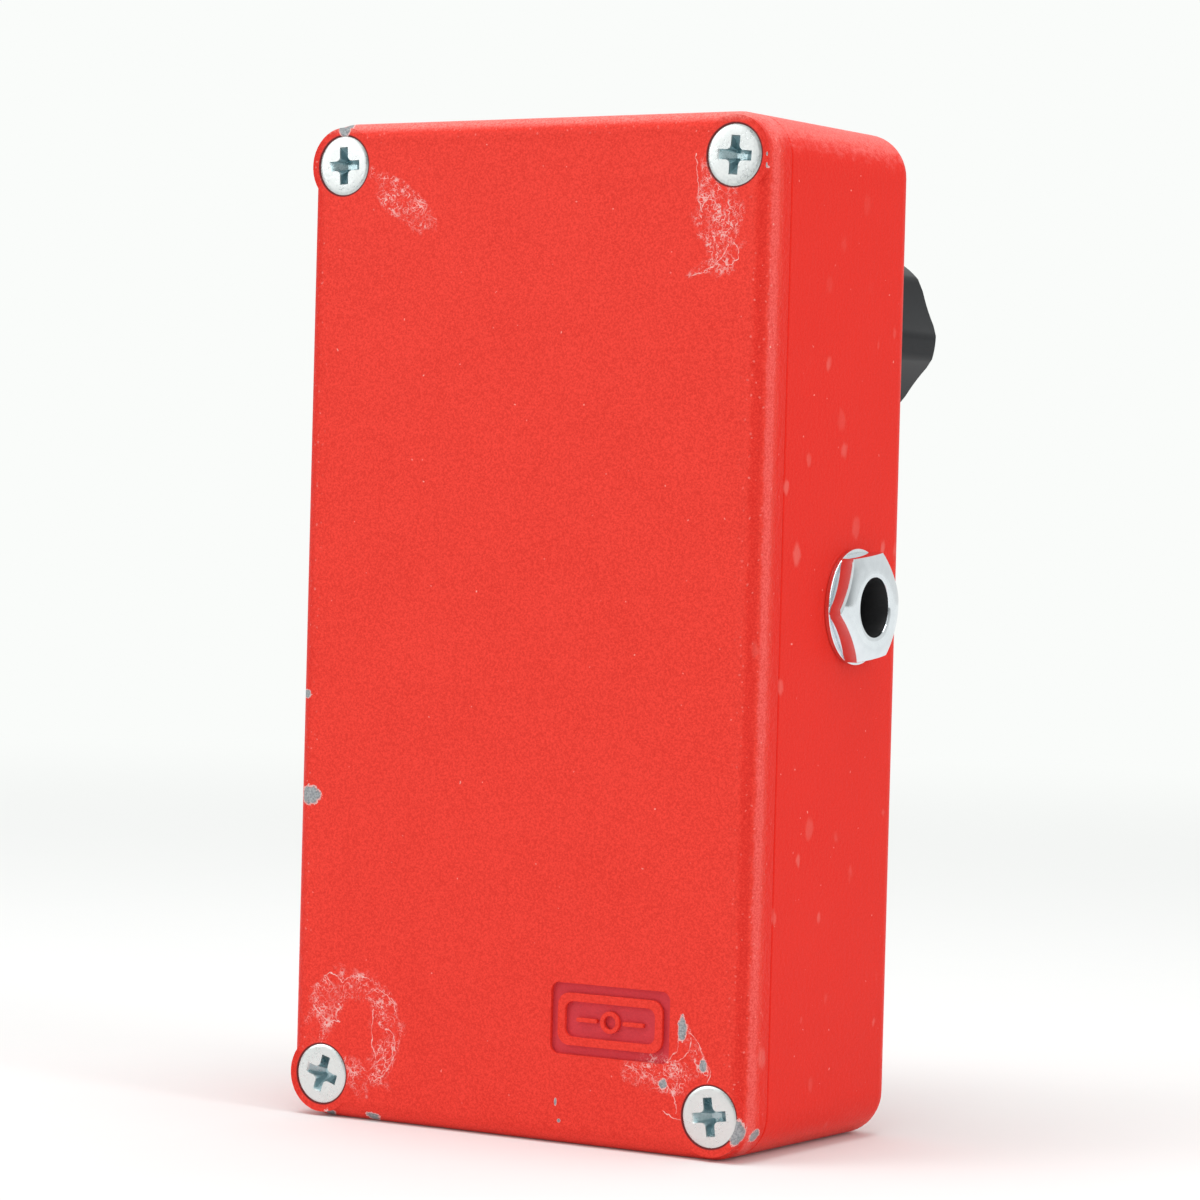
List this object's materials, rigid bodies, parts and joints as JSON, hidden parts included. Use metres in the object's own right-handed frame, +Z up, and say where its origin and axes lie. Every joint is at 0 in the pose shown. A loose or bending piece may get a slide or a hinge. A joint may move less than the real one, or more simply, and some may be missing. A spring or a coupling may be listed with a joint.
{
  "type": "guitar effects pedal",
  "caption": "Small die-cast effects pedal: screwed cover, turning knobs, sprung foot switch, side phone jacks and power jack.",
  "frame": {"origin": "centre of the flat lower end face, half way through the box", "axes": "+Z up the long side from the foot switch to the knobs, -Y out of the control face, +Y out of the cover, +X to the player's right"},
  "size_m": [0.0658, 0.048, 0.112],
  "materials": {
    "red_coated_casting": "red powder coat, fine orange peel, chipped to bare metal at some edges",
    "bright_zinc": "bright zinc plate",
    "chrome_hardware": "polished",
    "black_knob": "black, satin gloss",
    "white_pointer": "white fill",
    "blackened_steel": "black oxide",
    "turned_aluminium": "turned",
    "tinned_steel": "tinned",
    "brown_laminate": "paper laminate",
    "black_moulding": "moulded",
    "contact_metal": "nickel plated",
    "red_lens": "clear red resin",
    "switch_moulding": "moulded, blue",
    "green_board": "solder resist on glass laminate",
    "capacitor_sleeve": "shrink sleeve",
    "capacitor_box": "moulded box",
    "resistor_lacquer": "lacquered",
    "trimmer_blue": "moulded",
    "trimmer_white": "moulded",
    "battery_case": "lacquered steel can over the cells",
    "grey_foam": "foam",
    "wire_cover": "insulated wire"
  },
  "bodies": {
    "pedal": {"enclosure": "red_coated_casting", "cover": "red_coated_casting", "cover_screws": "bright_zinc", "pot_bushing_left": "turned_aluminium", "pot_wafer_left": "brown_laminate", "pot_can_left": "tinned_steel", "pot_pins_left": "tinned_steel", "pot_bushing_right": "turned_aluminium", "pot_wafer_right": "brown_laminate", "pot_can_right": "tinned_steel", "pot_pins_right": "tinned_steel", "pot_washers": "bright_zinc", "pot_nuts": "bright_zinc", "input_jack_ferrule_nut": "chrome_hardware", "input_jack_body": "black_moulding", "input_jack_contacts": "contact_metal", "output_jack_ferrule_nut": "chrome_hardware", "output_jack_body": "black_moulding", "output_jack_contacts": "contact_metal", "jack_washers": "chrome_hardware", "power_jack_body": "black_moulding", "power_jack_pin": "contact_metal", "power_jack_spring": "contact_metal", "power_jack_nut": "black_moulding", "light_lens": "red_lens", "light_bezel": "chrome_hardware", "light_leads": "tinned_steel", "footswitch_bushing": "chrome_hardware", "footswitch_spring": "tinned_steel", "footswitch_outer_washer": "chrome_hardware", "footswitch_outer_nut": "chrome_hardware", "footswitch_lock_washer": "bright_zinc", "footswitch_inner_nut": "bright_zinc", "footswitch_frame": "bright_zinc", "footswitch_body": "switch_moulding", "footswitch_lugs": "tinned_steel", "footswitch_board": "green_board", "main_board": "green_board", "op_amp_chips": "black_moulding", "transistors": "black_moulding", "electrolytic_capacitors": "capacitor_sleeve", "film_capacitors": "capacitor_box", "resistors": "resistor_lacquer", "trimmer_body": "trimmer_blue", "battery": "battery_case", "battery_snap": "black_moulding", "battery_pad": "grey_foam", "battery_leads": "wire_cover", "switch_wires": "wire_cover", "jack_wires": "wire_cover"},
    "left_knob": {"knob_left": "black_knob", "knob_pointer_left": "white_pointer", "knob_set_screw_left": "blackened_steel", "pot_shaft_left": "turned_aluminium"},
    "right_knob": {"knob_right": "black_knob", "knob_pointer_right": "white_pointer", "knob_set_screw_right": "blackened_steel", "pot_shaft_right": "turned_aluminium"},
    "foot_button": {"footswitch_button": "chrome_hardware"},
    "trimmer_wheel": {"trimmer_rotor": "trimmer_white"}
  },
  "joints": [
    {"name": "left_knob_turn", "type": "hinge", "parent": "pedal", "child": "left_knob", "pos_m": [-0.0156, -0.016, 0.0905], "axis": [0, 1, 0], "range_deg": [-171, 129]},
    {"name": "right_knob_turn", "type": "hinge", "parent": "pedal", "child": "right_knob", "pos_m": [0.0156, -0.016, 0.0905], "axis": [0, 1, 0], "range_deg": [-150, 150]},
    {"name": "footswitch_press", "type": "slide", "parent": "pedal", "child": "foot_button", "axis": [0, 1, 0], "range_m": [0, 0.003], "stiffness_N_per_m": 4000, "deforming": ["footswitch_spring"]},
    {"name": "trimmer_turn", "type": "hinge", "parent": "pedal", "child": "trimmer_wheel", "pos_m": [0.015, 0.0032, 0.089], "axis": [0, 1, 0], "range_deg": [-130, 130]}
  ]
}
